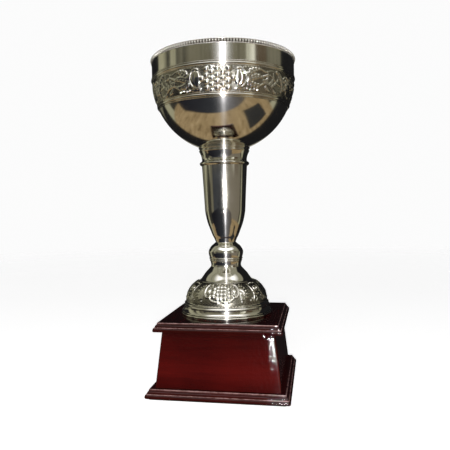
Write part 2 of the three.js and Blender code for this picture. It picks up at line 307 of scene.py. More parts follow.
def bunch(field, middle, columns, spacing, size, rise):
    """Grapes in columns: each column is how far it stands from the middle and how many grapes it has."""
    for aside, count in columns:
        for row in range(count):
            field.dome((aside, middle + (row - (count - 1) / 2) * spacing), size, rise)


def band_pattern(columns, rows):
    """Grapes between two fruits, with leaves and sprays out to a rosette where two repeats meet."""
    width = 2 * math.pi * BOWL_R / PATTERN_REPEATS
    height = BAND_HIGH_Z - BAND_LOW_Z
    field = Relief(width, height, columns, rows)
    middle = height / 2
    edge = width / 2 - 0.01  # where two repeats meet
    bunch(field, middle, ((0, 4), (4.9, 3), (9.8, 4), (13.9, 1)), 5.1, (2.5, 2.3), 1.5)
    field.leaf([(0.8, 17.3), (4.5, 19.4), (9, 19.3), (13.5, 17)], 1.7, 0.8, 4)
    field.leaf([(3, 1), (8, 1.6), (12.5, 3.6)], 1.4, 0.7, 3)
    field.fruit((19.4, middle + 0.4), (5.0, 6.7), 1.5)
    field.leaf([(15, 2.6), (19, 1.5), (23.5, 1.8), (27.5, 3.4)], 1.5, 0.7, 4)
    field.leaf([(25.6, 11), (29, 15.4), (33.5, 17.9), (39.4, 19)], 3.1, 1.0, 5)
    field.leaf([(26, 10.4), (31, 11.6), (36, 12.8), (42.4, 12.2)], 3.2, 1.0, 5)
    field.leaf([(25.6, 9.4), (29.6, 6.8), (34, 5.6), (39.4, 6.8)], 2.8, 0.95, 4)
    field.leaf([(21.5, 18.9), (25.5, 19.8), (30, 19.9), (34, 19.6)], 1.1, 0.55, 4)
    for at in ((26.8, 2.2), (30.2, 1.5), (33.9, 2.3), (37.6, 1.7), (30.4, 4.6)):
        field.dome(at, (1.0, 1.0), 0.95)
    field.ridge([(36, 3.6), (43, 7.4), (50, 6.4), (57, 2.9), (64.5, 2.2)], 0.95, 0.75)
    field.ridge([(41, 12.9), (47.5, 14.8), (53, 13.4), (58, 9.7), (64, 8)], 0.8, 0.75)
    field.ridge([(39, 18.8), (44.5, 17), (50, 18.8), (56, 18.2)], 0.6, 0.6)
    for path in (
        [(43.4, 7.6), (46.2, 10.6), (47, 14.6), (45.4, 19)],
        [(47.6, 7.2), (51.6, 9.4), (53.4, 13.2), (52.8, 18.4)],
        [(44.5, 6.6), (47.4, 3.6), (51.8, 1.6)],
        [(51.4, 6), (55.4, 8), (59.2, 12), (59.8, 18)],
        [(54.4, 4), (58, 1.7), (62, 1)],
        [(40.6, 9.6), (44.6, 9.9), (48.6, 8.9)],
    ):
        field.leaf(path, 1.6, 0.8, 4)
    field.leaf([(55.4, 19.2), (60.4, 17.4), (64.6, 13.4), (67, 7.6), (66.8, 1.8)], 2.6, 1.0, 7)
    field.scroll((edge, middle), 6.4, 1.4, 100, 1.0, 0.95)
    for petal in range(8):
        angle = math.radians(45 * petal)
        at = edge - 3.3 * math.cos(angle), middle + 3.3 * math.sin(angle)
        field.dome(at, (2.0, 1.2), 1.0, -45 * petal)
    field.dome((edge, middle), (1.6, 1.6), 1.3)
    field.mirrored()
    field.press(hatching(field, 1.5, 0.6, 0.2))
    return field.finished()


def foot_pattern(columns, rows):
    """The band's pattern again, closer set: grapes, a C-scroll, a fanned leaf and a spiral."""
    width = 2 * math.pi * FOOT_PATTERN_R / PATTERN_REPEATS
    height = DOME_R * math.radians(DOME_ARC[1] - DOME_ARC[0])
    field = Relief(width, height, columns, rows)
    edge = width / 2 - 0.01  # where two repeats meet
    bunch(field, 12.8, ((0, 4), (3.7, 4), (7.2, 3)), 4.1, (2.05, 2.3), 1.15)
    field.leaf([(1, 3.4), (4.5, 3), (8.2, 4.2), (11, 6.6)], 1.2, 0.8, 4)
    field.leaf([(1, 21.4), (4.8, 22.3), (9, 21.3)], 1.1, 0.7, 3)
    c_scroll = [(9.6, 18.2), (11.6, 20.8), (14.8, 20.2), (16.6, 16), (16.2, 11), (13.8, 7.6), (11, 7.4),
                (10, 9.4)]
    field.ridge(c_scroll, 1.05, 1.0, 0.15)
    field.dome((12.6, 14.4), (2.1, 4.2), 0.95)
    stalk, fold = (17.4, 6.6), (17.4, 8.4)
    for tip in ((20.6, 22.3), (24.4, 21.8), (27.4, 19.2), (29, 15.2), (28.8, 10.8), (26.6, 7), (22.6, 4.4)):
        bend = (fold[0] + (tip[0] - fold[0]) * 0.45, fold[1] + (tip[1] - fold[1]) * 0.62)
        field.leaf([stalk, bend, tip], 1.6, 0.95, 4)
    field.scroll((edge, 14.2), 5.6, 1.35, 200, 0.95, 0.95)
    field.ridge([(30.4, 3.4), (32.2, 8), (32, 14), (29.8, 21.6)], 0.85, 0.8)
    field.ridge([(33.4, 3), (36, 5.4), (37.6, 5.8)], 0.75, 0.7)
    for at in ((18.4, 3.2), (27.2, 3.6), (29.2, 5.4), (33.6, 21.2), (36.6, 21.8), (34.4, 6.6)):
        field.dome(at, (0.9, 0.9), 0.85)
    field.mirrored()
    field.press(hatching(field, 1.4, 0.5, 0.18))
    fade = 1.2
    field.rise *= np.clip(field.up / fade, 0, 1) * np.clip((height - field.up) / fade, 0, 1)
    return field.finished()


# ---- Materials ----

class Shader:
    """A node tree, written as nested calls: a value is a number, a tuple or another node's output."""

    def __init__(self, name, owners=bpy.data.materials, surface="Principled BSDF"):
        self.material = owners.new(name)
        self.material.use_nodes = True
        self.nodes = self.material.node_tree.nodes
        self.surface = self.nodes[surface]

    def node(self, kind, output, inputs=(), **settings):
        made = self.nodes.new(kind)
        for key, value in settings.items():
            setattr(made, key, value)
        for key, value in dict(inputs).items():
            self.connect(made.inputs[key], value)
        return made.outputs[output]

    def connect(self, socket, value):
        if isinstance(value, bpy.types.NodeSocket):
            self.material.node_tree.links.new(value, socket)
        else:
            socket.default_value = value

    def set(self, **inputs):
        for key, value in inputs.items():
            self.connect(self.surface.inputs[key.replace("_", " ")], value)

    def coordinates(self, scale=(1, 1, 1), turn=0):
        at = self.node("ShaderNodeTexCoord", "Object")
        return self.node("ShaderNodeMapping", "Vector",
                         {"Vector": at, "Scale": scale, "Rotation": (0, 0, math.radians(turn))})

    def noise(self, at, scale, detail=3, roughness=0.5, distortion=0):
        return self.node("ShaderNodeTexNoise", "Fac", {
            "Vector": at, "Scale": scale, "Detail": detail, "Roughness": roughness, "Distortion": distortion})

    def ramp(self, value, *stops):
        """Colours or greys at places from 0 to 1."""
        made = self.nodes.new("ShaderNodeValToRGB")
        elements = made.color_ramp.elements
        for i, (place, colour) in enumerate(stops):
            element = elements[i] if i < 2 else elements.new(place)
            element.position = place
            element.color = (*colour, 1) if isinstance(colour, tuple) else (colour, colour, colour, 1)
        self.connect(made.inputs["Fac"], value)
        return made.outputs["Color"]

    def mix(self, factor, a, b, blend="MIX"):
        made = self.nodes.new("ShaderNodeMix")
        made.data_type = "RGBA"
        made.blend_type = blend
        for place, value in ((0, factor), (6, a), (7, b)):  # 6 and 7 are the node's colour sockets
            opaque = (*value, 1) if isinstance(value, tuple) and len(value) == 3 else value
            self.connect(made.inputs[place], opaque)
        return made.outputs[2]

    def math(self, operation, a, b=0.0):
        return self.node("ShaderNodeMath", 0, {0: a, 1: b}, operation=operation)

    def from_zero(self, value, scale=0.5):
        """A value times `scale`, plus a half. With the usual scale, -1 to 1 becomes 0 to 1."""
        return self.node("ShaderNodeMath", 0, {0: value, 1: scale, 2: 0.5}, operation="MULTIPLY_ADD")

    def dot(self, a, b):
        return self.node("ShaderNodeVectorMath", "Value", {0: a, 1: b}, operation="DOT_PRODUCT")

    def bump(self, height, distance, strength=1.0, normal=None):
        inputs = {"Height": height, "Distance": distance, "Strength": strength}
        if normal is not None:
            inputs["Normal"] = normal
        return self.node("ShaderNodeBump", "Normal", inputs)


def silver(name, anisotropy, roughness, lines=0.0, tarnish_and_shade=0.0, tarnish_and_shade_colour=(0.17, 0.155, 0.11), recess_top=0.5,
           metallic=1.0):
    """Bright silver plate: faint clouding, fine scratches, spinning lines, and a darker colour in recesses
    lower than
    the given depth in millimetres: tarnished hollows on pressed silver, painted shade in the gaps between the
    rim's beads."""
    s = Shader(name)
    at = s.coordinates()
    clouds = s.noise(at, 45, 4, 0.6)
    colour = s.ramp(clouds, (0.3, (0.83, 0.80, 0.715)), (0.7, (0.93, 0.91, 0.85)))
    rough = s.ramp(clouds, (0.3, roughness * 0.8), (0.75, roughness * 1.3))
    # Recesses darken: tarnished hollows on the pressed silver, painted shade in the gaps between the rim's
    # beads.
    if tarnish_and_shade:
        rise = s.node("ShaderNodeAttribute", "Fac", attribute_name="relief")
        rise = s.math("ADD", rise, s.math("MULTIPLY", clouds, 0.16))
        sunk = s.ramp(s.math("MULTIPLY", rise, 1 / recess_top), (0.12, 1.0), (1.0, 0.0))
        sunk = s.math("MULTIPLY", sunk, tarnish_and_shade)
        colour = s.mix(sunk, colour, tarnish_and_shade_colour)
        rough = s.mix(sunk, rough, (0.34, 0.34, 0.34))
    wear = s.noise(s.coordinates((1, 1, 0.08)), 420, 3, 0.7)
    normal = s.bump(wear, 0.00001, 0.25)
    if lines:
        rings = s.noise(s.coordinates((0.02, 0.02, 1)), 2600, 2)
        normal = s.bump(rings, 0.00001, lines, normal)
    s.set(Base_Color=colour, Metallic=metallic, Roughness=rough, Normal=normal, Anisotropic=anisotropy)
    if anisotropy:
        s.set(Tangent=s.node("ShaderNodeTangent", "Tangent", direction_type="RADIAL", axis="Z"))
    return s.material


def lacquered_mahogany(name, turn):
    """Dark red stained wood under thick gloss lacquer, its grain along X turned by so many degrees. Painted
    light and shade by height make it lightest low on the panels and darker at the foot and the top, and a
    pale painted highlight line runs where "relief" marks an arris."""
    s = Shader(name)
    grain = s.noise(s.coordinates((3, 42, 42), turn), 4, 8, 0.62, 0.6)
    pores = s.noise(s.coordinates((18, 500, 500), turn), 3, 4, 0.7)
    blotch = s.noise(s.coordinates(), 14, 3)
    colour = s.ramp(grain, (0.28, (0.022, 0.0015, 0.0013)), (0.55, (0.050, 0.0027, 0.0021)),
                    (0.8, (0.077, 0.0046, 0.0032)))
    colour = s.mix(s.ramp(pores, (0.32, 0.75), (0.46, 0.0)), colour, (0.012, 0.002, 0.002))
    colour = s.mix(0.5, colour, s.ramp(blotch, (0.3, (0.025, 0.0017, 0.0015)), (0.7, (0.08, 0.0042, 0.003))))
    # Painted light and shade by height: darkest on the top board, dark on the base board, lightest low on the
    # panels.
    height = s.node("ShaderNodeSeparateXYZ", "Z", {0: s.coordinates((15, 15, 15))})
    depth = s.math("ADD", height, s.math("MULTIPLY", blotch, 0.1))
    shade = s.ramp(depth, (0.1, 0.55), (0.22, 0.75), (0.42, 1.35), (0.62, 1.0), (0.85, 0.72), (1.0, 0.5))
    colour = s.mix(1.0, colour, shade, "MULTIPLY")
    # Painted highlight: a pale pinkish line along each board's arris, broken up by noise.
    painted_arris_highlight = s.node("ShaderNodeAttribute", "Fac", attribute_name="relief")
    breaks = s.ramp(s.noise(s.coordinates(), 180, 3, 0.6), (0.35, 0.35), (0.6, 0.95))
    colour = s.mix(s.math("MULTIPLY", painted_arris_highlight, breaks), colour, (0.5, 0.31, 0.29))
    peel = s.noise(s.coordinates(), 400, 2, 0.5)
    settle = s.noise(s.coordinates(), 90, 2)
    upright = s.node("ShaderNodeSeparateXYZ", "Z", {0: s.node("ShaderNodeTexCoord", "Normal")})
    flatter_on_top = s.ramp(upright, (0.85, 1.0), (0.97, 0.12))
    coat = s.bump(peel, 0.00015, flatter_on_top, s.bump(settle, 0.0002, 0.25))
    s.set(Base_Color=colour, Roughness=s.ramp(grain, (0.3, 0.5), (0.8, 0.4)),
          Normal=s.bump(pores, 0.00005, 0.3, coat), Specular_IOR_Level=0.0,
          Coat_Weight=1.0, Coat_Roughness=0.03, Coat_IOR=1.45, Coat_Normal=coat)
    return s.material


def felt_cloth(name):
    s = Shader(name)
    fibres = s.noise(s.coordinates(), 1800, 5, 0.75, 1.5)
    mats = s.noise(s.coordinates(), 160, 3)
    colour = s.ramp(fibres, (0.3, (0.006, 0.018, 0.011)), (0.75, (0.03, 0.075, 0.05)))
    colour = s.mix(0.3, colour, s.ramp(mats, (0.3, (0.01, 0.03, 0.018)), (0.7, (0.028, 0.07, 0.045))))
    s.set(Base_Color=colour, Roughness=s.ramp(mats, (0.3, 0.9), (0.7, 1.0)), Sheen_Weight=0.6,
          Sheen_Roughness=0.5, Normal=s.bump(fibres, 0.0004, 0.8, s.bump(mats, 0.0006, 0.4)))
    return s.material


def plated_steel(name):
    s = Shader(name)
    spangle = s.noise(s.coordinates(), 220, 4)
    scratches = s.noise(s.coordinates((1, 1, 0.1)), 1600, 3)
    colour = s.ramp(spangle, (0.3, (0.42, 0.42, 0.40)), (0.7, (0.62, 0.62, 0.60)))
    s.set(Base_Color=colour, Metallic=1.0, Roughness=s.ramp(spangle, (0.3, 0.28), (0.7, 0.45)),
          Normal=s.bump(scratches, 0.00004, 0.5))
    return s.material


def sawn_wood(name):
    s = Shader(name)
    grain = s.noise(s.coordinates((40, 40, 4)), 5, 7, 0.6, 0.4)
    saw = s.noise(s.coordinates((30, 30, 900)), 2, 2)
    colour = s.ramp(grain, (0.3, (0.30, 0.17, 0.085)), (0.55, (0.52, 0.34, 0.19)), (0.75, (0.62, 0.44, 0.27)))
    s.set(Base_Color=colour, Roughness=s.ramp(grain, (0.3, 0.75), (0.7, 0.6)),
          Normal=s.bump(saw, 0.0002, 0.5, s.bump(grain, 0.0002, 0.4)))
    return s.material


SPUN = silver("spun_silver", 0.8, 0.09, lines=0.12)
POLISHED = silver("polished_silver", 0.0, 0.08)
PRESSED = silver("pressed_silver", 0.0, 0.075, tarnish_and_shade=0.9)
# The beaded rim's near-black recess colour is painted shade in the gaps between the beads.
BEADED = silver("beaded_silver", 0.0, 0.16, tarnish_and_shade=1.0, tarnish_and_shade_colour=(0.03, 0.014, 0.01), recess_top=1.35,
                metallic=0.7)
MAHOGANY = lacquered_mahogany("mahogany_lacquer", 0)
MAHOGANY_SIDE = lacquered_mahogany("mahogany_lacquer_side", 90)
FELT = felt_cloth("green_felt")
STEEL = plated_steel("plated_steel")
BARE_WOOD = sawn_wood("sawn_softwood")


# ---- Cup ----

def bowl_at(sphere_r, height):
    """Radius at a height of a surface that is a sphere below the bowl's centre and upright above it."""
    below = np.clip(BOWL_CENTRE_Z - np.asarray(height, float), 0, None)
    return np.sqrt(sphere_r**2 - below**2)


def bowl_wall(sphere_r, low, high, steps):
    heights = np.linspace(low, high, steps + 1)
    return np.column_stack([bowl_at(sphere_r, heights), heights])


def make_bowl():
    seat_low, seat_high = BAND_LOW_Z - WIRE_HEIGHT, BAND_HIGH_Z + WIRE_HEIGHT
    seat_angle = -math.degrees(math.asin((BOWL_CENTRE_Z - seat_low) / BOWL_R))
    outside = arc(0, BOWL_CENTRE_Z, BOWL_R, -90, seat_angle, 60)
    inside = arc(0, BOWL_CENTRE_Z, BOWL_INNER_R, 0, -90, 64)
    outside[0, 0] = inside[-1, 0] = 0
    outline = joined(
        outside,
        bowl_wall(SEAT_R - WALL_GAP, seat_low, seat_high, 8),
        [BOWL_R, seat_high],
        bowl_wall(BOWL_R, seat_high + 0.2, LIP_Z, 6),
        [BOWL_INNER_R, LIP_Z],
        inside,
    )
    turned("bowl_shell", outline, BOWL_SEGMENTS, "bowl", SPUN)


def make_rim():
    """Fillet, a row of oval beads, and a thin lip."""
    heights = np.linspace(BEAD_Z - BEAD_ZONE, BEAD_Z + BEAD_ZONE, BEAD_ROWS)
    bead_zone = np.column_stack([np.full(BEAD_ROWS, BEAD_ROOT_R), heights])
    foot = joined([66.2, LIP_Z], [68.7, LIP_Z], arc(68.5, LIP_Z + 0.3, 0.4, -50, 80, 5))
    outline = joined(
        foot,
        bead_zone,
        arc(68.0, RIM_Z - 0.3, 0.3, -60, 90, 5),
        [67.2, RIM_Z], [66.5, RIM_Z - 0.15], [66.2, RIM_Z - 0.6],
    )
    segments = BEAD_COUNT * BEAD_SEGMENTS
    pitch = 2 * math.pi * BOWL_R / BEAD_COUNT
    across = (np.arange(segments) % BEAD_SEGMENTS / BEAD_SEGMENTS - 0.5) * pitch
    reach = (across[:, None] / BEAD_SIZE[0]) ** 2 + ((heights - BEAD_Z) / BEAD_SIZE[1]) ** 2
    beads = BEAD_RISE * np.sqrt(np.clip(1 - reach, 0, None))
    turned("beaded_rim", outline, segments, "rim_bead_wire", BEADED, relief=beads, first=len(foot))


def make_border_wire(name, replaced, low, way):
    """A half-round wire between a reed and a thin one. `way` is 1 with the thin one underneath, or -1."""
    middle = low + WIRE_HEIGHT / 2
    centre, reed, thin = middle - way * 0.2, middle + way * 1.75, middle - way * 1.95
    runs = [
        arc(bowl_at(BOWL_R, thin) - 0.1, thin, 0.35, -80, 80, 6),
        arc(bowl_at(BOWL_R, centre) - 0.45, centre, 1.3, -75, 75, 14),
        arc(bowl_at(BOWL_R, reed) - 0.15, reed, 0.5, -80, 80, 6),
    ]
    if way < 0:
        runs.reverse()
    back = bowl_wall(SEAT_R, low + 0.2, low + WIRE_HEIGHT - 0.2, 3)[::-1]
    turned(name, joined(*runs, back), BOWL_SEGMENTS, replaced, POLISHED)


def make_band():
    columns, rows = BAND_CELLS
    front = bowl_wall(BOWL_R - 0.25, BAND_LOW_Z, BAND_HIGH_Z, rows - 1)
    back = bowl_wall(SEAT_R, BAND_LOW_Z, BAND_HIGH_Z, 3)[::-1]
    turned("pressed_fruit_band", joined(front, back), columns * PATTERN_REPEATS, "pressed_band", PRESSED,
           relief=band_pattern(columns, rows), facing=BAND_FACING)


def under_bowl(radius):
    """The point at a radius that lies just under the bowl."""
    return [radius, BOWL_CENTRE_Z - math.sqrt((BOWL_R + WALL_GAP) ** 2 - radius**2)]


def make_collar():
    outline = joined(
        [18.6, 138], [19.8, 138], [19.8, 142.8], [22.4, 142.8],
        arc(22.3, 144.9, 1.75, -70, 75, 12),
        [22.0, 147.3],
        smooth([(21.8, 148.2), (21.9, 150), (22.5, 152.6), (23.6, 155.3)]),
        arc(23.5, 157.0, 0.95, -60, 80, 8),
        [23.7, 158.5],
        arc(23.7, 159.9, 1.2, -70, 85, 10),
        under_bowl(24.3), under_bowl(18.6),
    )
    turned("bowl_collar_rings", eased(outline, 0.15), CUP_SEGMENTS, "bowl_collar", SPUN)


def make_stem():
    outer = smooth([(9.8, 68.8), (9.95, 69.6), (11.1, 72.5), (12.6, 75.4), (14.9, 81.3), (17.1, 87.2),
                    (18.6, 93.2), (19.6, 99), (19.95, 105), (20.2, 110), (20.7, 120), (21.25, 130),
                    (21.95, 142.8)], 7)
    inner = offset_inwards(outer, 1.5)[::-1]
    turned("stem_trumpet", joined(outer, inner), CUP_SEGMENTS, "stem", SPUN)


def make_knop():
    outer = smooth([(16.1, 54.6), (16.55, 56.4), (16.85, 58.2), (16.9, 59.2), (16.7, 60.7), (15.6, 63),
                    (13.9, 65.4), (12.3, 66.7), (10.9, 67.9), (9.8, 68.8)], 7)
    outline = joined(outer, [7.6, 68.8], [12.6, 63], [13.4, 54.6])
    turned("knop_bulb", eased(outline, 0.2), CUP_SEGMENTS, "knop", SPUN)


def make_neck():
    outer = joined(
        [14.85, 45.3],
        smooth([(14.7, 46), (14.62, 47.4), (14.9, 49), (15.3, 50.4)]),
        arc(15.2, 51.3, 0.7, -70, 70, 8),
        [15.3, 52.2],
        arc(15.55, 53.3, 0.8, -80, 80, 8),
        [15.9, 54.6],
    )
    turned("neck_reeds", eased(joined([12.4, 45.3], outer, [12.4, 54.6]), 0.15), CUP_SEGMENTS, "neck", SPUN)


def make_foot():
    columns, rows = FOOT_CELLS
    dome = arc(*DOME_CENTRE, DOME_R, *DOME_ARC, rows - 1)
    flange = joined(
        [42.4, 3.3], [43.2, 3.3],
        smooth([(43.1, 3.7), (42.2, 4.8), (41.4, 6.4), (41.1, 8)], 4),
        arc(40.9, 8.9, 0.75, -70, 75, 5),
        [40.9, 10.1],
        arc(40.2, 10.95, 0.85, -50, 85, 5),
        [39.75, 12.3],
    )
    shoulder = joined(
        arc(26.1, 31.75, 0.55, 0, 110, 4),
        smooth([(25.3, 32.4), (24, 34), (22.6, 36), (21.2, 38), (19.6, 40), (17.7, 42), (15.9, 44),
                (14.85, 45.3)], 3),
    )
    inside = joined(
        [3.4, 45.3], [3.4, 43.6], [13.4, 43.3],
        smooth([(16.4, 41.2), (20, 37.6), (22.6, 34), (24.2, 31.4)], 2),
        arc(*DOME_CENTRE, DOME_R - 1.2, DOME_ARC[1], DOME_ARC[0], 10),
        [39.0, 9.6], [40.0, 5.2],
    )
    outline = joined(flange, dome, shoulder, inside)
    turned("foot_pressed_dome", outline, columns * PATTERN_REPEATS, "foot_shell", PRESSED,
           relief=foot_pattern(columns, rows), first=len(flange), facing=FOOT_FACING)
    rim = joined([40, 0], [43.4, 0], arc(42.5, 1.5, 1.5, -55, 90, 12), [40, 3.0])
    turned("foot_rolled_rim", eased(rim, 0.3), CUP_SEGMENTS, "foot_rim_wire", POLISHED)


make_bowl()
make_rim()
make_border_wire("band_wire_upper", "band_top_wire", BAND_HIGH_Z, 1)
make_border_wire("band_wire_lower", "band_bottom_wire", BAND_LOW_Z - WIRE_HEIGHT, -1)
make_band()
make_collar()
make_stem()
make_knop()
make_neck()
make_foot()


# ---- Plinth ----

def square_ring(half, corner, height, arc_steps=6, side_steps=10):
    """Points round a square with rounded corners, anticlockwise from above."""
    centre = half - corner
    points = [(centre + corner * math.cos(angle), centre + corner * math.sin(angle))
              for angle in np.linspace(0, math.pi / 2, arc_steps + 1)]
    points += [(centre * (1 - 2 * t), half) for t in np.linspace(0, 1, side_steps + 1)[1:-1]]
    return np.array([
        (*turned_about_z(x, y, 90 * quarter), height) for quarter in range(4) for x, y in points])


def stack_faces(rings):
    """The walls between stacked rings, and the two faces over the first and the last ring."""
    count = len(rings[0])
    last = (len(rings) - 1) * count
    walls = ring_faces(len(rings), count)[:last]
    return walls, [list(range(count)), list(range(last, last + count))]


def square_piece(name, outline, corner, replaced, material, widest, arrises=()):
    """A board or pad: rounded squares stacked from the bottom of an outline of [half size, height] to its
    top. The material reads back as "relief" how near a point is to the outline's `arrises`."""
    outline = np.asarray(outline, float)
    near = np.zeros(len(outline))
    for arris in arrises:
        near = np.maximum(near, np.exp(-((np.hypot(*(outline - arris).T) / ARRIS_REACH) ** 2)))
    rings = [square_ring(half, max(LEAST_CORNER, corner - (widest - half)), z) for half, z in outline]
    walls, (bottom, top) = stack_faces(rings)
    faces = [wall[::-1] for wall in walls] + [bottom, top[::-1]]
    relief = np.repeat(near, len(rings[0]))
    piece_of(name, np.vstack(rings), faces, replaced, material, relief=relief)


def board_outline(half, low):
    """The moulded edge from the bottom up: bullnose, cove, fillet and a crisp arris."""
    top = low + BOARD_THICK
    return joined(
        [[half - 6, low], [half - 1.1, low], [half - 0.5, low + 0.12], [half - 0.12, low + 0.45]],
        smooth([(half, low + 0.95), (half - 0.05, low + 1.8), (half - 0.5, low + 2.9),
                (half - 1.2, low + 3.6)], 4),
        arc(half - 1.75, low + 3.55, 0.45, 40, 85, 3),
        [[half - 2.05, low + 4.0], [half - 2.1, low + 4.3]],
        smooth([(half - 2.2, low + 4.8), (half - 2.55, low + 5.6), (half - 3.1, low + 6.2),
                (half - 3.5, low + 6.4)], 4),
        [half - 3.62, low + 6.55],
        arc(half - 4.2, top - 0.5, 0.5, 0, 90, 5),
        [half - 5.2, top],
        [half - 9, top],
    )


def board(name, node):
    low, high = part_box(node)
    half, low_z = high.x / MM, low.z / MM
    arrises = (half - 3.8, low_z + BOARD_THICK - 0.1), (half - 1.45, low_z + 3.95)
    outline = board_outline(half, low_z)
    square_piece(name, outline, BOARD_CORNER, node, MAHOGANY, half, arrises)


def side_panel(side, quarter):
    """A mitred panel that leans in; its vertical edges are half of the body's rounded corners."""
    low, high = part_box(f"plinth_{side}_panel")
    levels = 8
    rings = []
    for t in np.linspace(0, 1, levels + 1):
        half = BODY_HALF_BOTTOM + (BODY_HALF_TOP - BODY_HALF_BOTTOM) * t
        centre, back = half - PANEL_CORNER, half - PANEL_THICK
        section = joined(
            arc(-centre, -centre, PANEL_CORNER, 225, 270, 5),
            [[x, -half] for x in np.linspace(-centre, centre, 14)[1:-1]],
            arc(centre, -centre, PANEL_CORNER, 270, 315, 5),
            [back, -back],
            [-back, -back],
        )
        x, y = turned_about_z(*section.T, 90 * quarter)
        z = (low.z + (high.z - low.z) * t) / MM
        rings.append(np.column_stack([x, y, np.full(len(x), z)]))
    walls, ends = stack_faces(rings)
    piece_of(f"lacquered_{side}_panel", np.vstack(rings), walls + ends, f"plinth_{side}_panel",
             MAHOGANY_SIDE if quarter % 2 else MAHOGANY)


def make_felt():
    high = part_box("felt_pad")[1]
    half, top = high.x / MM, high.z / MM
    outline = [(half - 3, 0.02), (half - 0.5, 0.03), (half - 0.12, 0.25), (half, 0.6), (half - 0.1, 1.0),
               (half - 0.3, top)]
    square_piece("felt_base_cover", outline, FELT_CORNER, "felt_pad", FELT, half)


board("moulded_top_board", "plinth_top_board")
board("moulded_base_board", "plinth_base_board")
for quarter, side in enumerate(("front", "right", "back", "left")):
    side_panel(side, quarter)
make_felt()

# CAD pieces that stay as they are, out of sight inside the trophy, get their finish here.
for name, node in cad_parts.items():
    finish = {"tie_rod": STEEL, "bowl_boss": POLISHED}.get(name)
    if name.endswith(("_nut", "_washer")) or name.startswith("base_screw"):
        finish = STEEL
    if name.startswith("glue_block"):
        finish = BARE_WOOD
    if finish:
        for material_slot in node.material_slots:
            material_slot.material = finish


# ---- Stage ----

def make_floor():
    """A pale floor that fades into the background well behind the trophy."""
    mesh = bpy.data.meshes.new("studio_floor")
    corners = [(x * FLOOR_HALF, y * FLOOR_HALF, 0) for x, y in ((-1, -1), (1, -1), (1, 1), (-1, 1))]
    mesh.from_pydata(corners, [], [(0, 1, 2, 3)])
    floor = bpy.data.objects.new("studio_floor", mesh)
    bpy.context.scene.collection.objects.link(floor)
    s = Shader("pale_floor")
    at = s.coordinates()
    reach = s.node("ShaderNodeVectorMath", "Value", {0: at}, operation="LENGTH")
    s.set(Base_Color=s.ramp(s.noise(at, 3), (0.3, 0.80), (0.7, 0.84)), Roughness=0.75, Specular_IOR_Level=0.0,
          Emission_Color=(1, 1, 1, 1), Emission_Strength=FLOOR_GLOW,
          Alpha=s.ramp(s.math("MULTIPLY", reach, 0.5), (0.3, 1.0), (0.95, 0.0)))
    mesh.materials.append(s.material)
    floor.visible_glossy = floor.visible_diffuse = False


def heading(azimuth, elevation=0):
    """Unit vector of a direction given in degrees."""
    a, e = math.radians(azimuth), math.radians(elevation)
    return math.cos(e) * math.cos(a), math.cos(e) * math.sin(a), math.sin(e)


